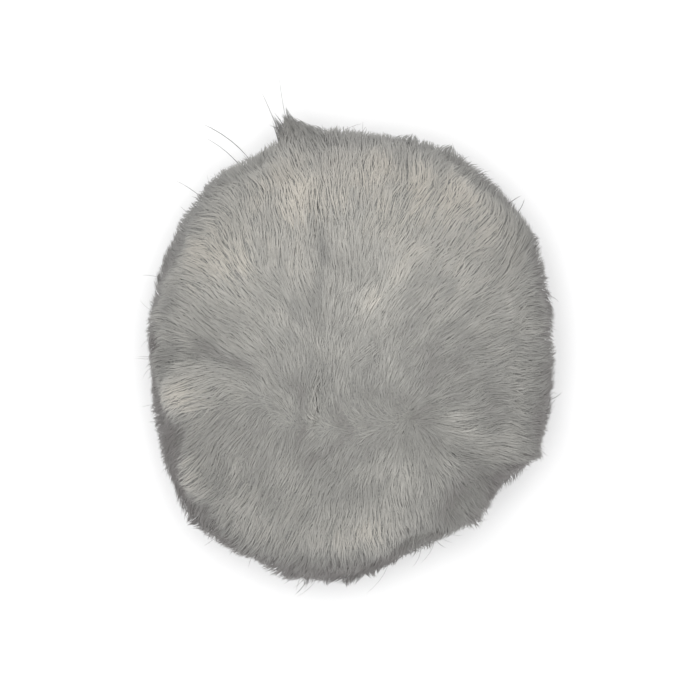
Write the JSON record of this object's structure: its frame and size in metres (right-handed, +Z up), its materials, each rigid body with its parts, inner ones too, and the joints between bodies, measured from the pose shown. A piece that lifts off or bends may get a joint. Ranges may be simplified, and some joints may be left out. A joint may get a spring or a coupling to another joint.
{
  "type": "craft pom-pom",
  "caption": "Soft ball of cut acrylic fibres, bound at its middle by a thread, for gluing or sewing on as trim; it rests on a flat spot.",
  "frame": {"origin": "centre of the flat spot that the ball rests on, straight below the ball's middle", "axes": "+Z up and away from the rest spot; +Y along the parting, towards the long wisp; +X across the parting"},
  "size_m": [0.0477, 0.0556, 0.045],
  "materials": {
    "acrylic_fibre": "fine cut acrylic fibre, matt with a soft sheen",
    "thread": "twisted thread, matt"
  },
  "bodies": {
    "root": {"fibre_pile": "acrylic_fibre", "binding_thread": "thread"}
  },
  "joints": []
}
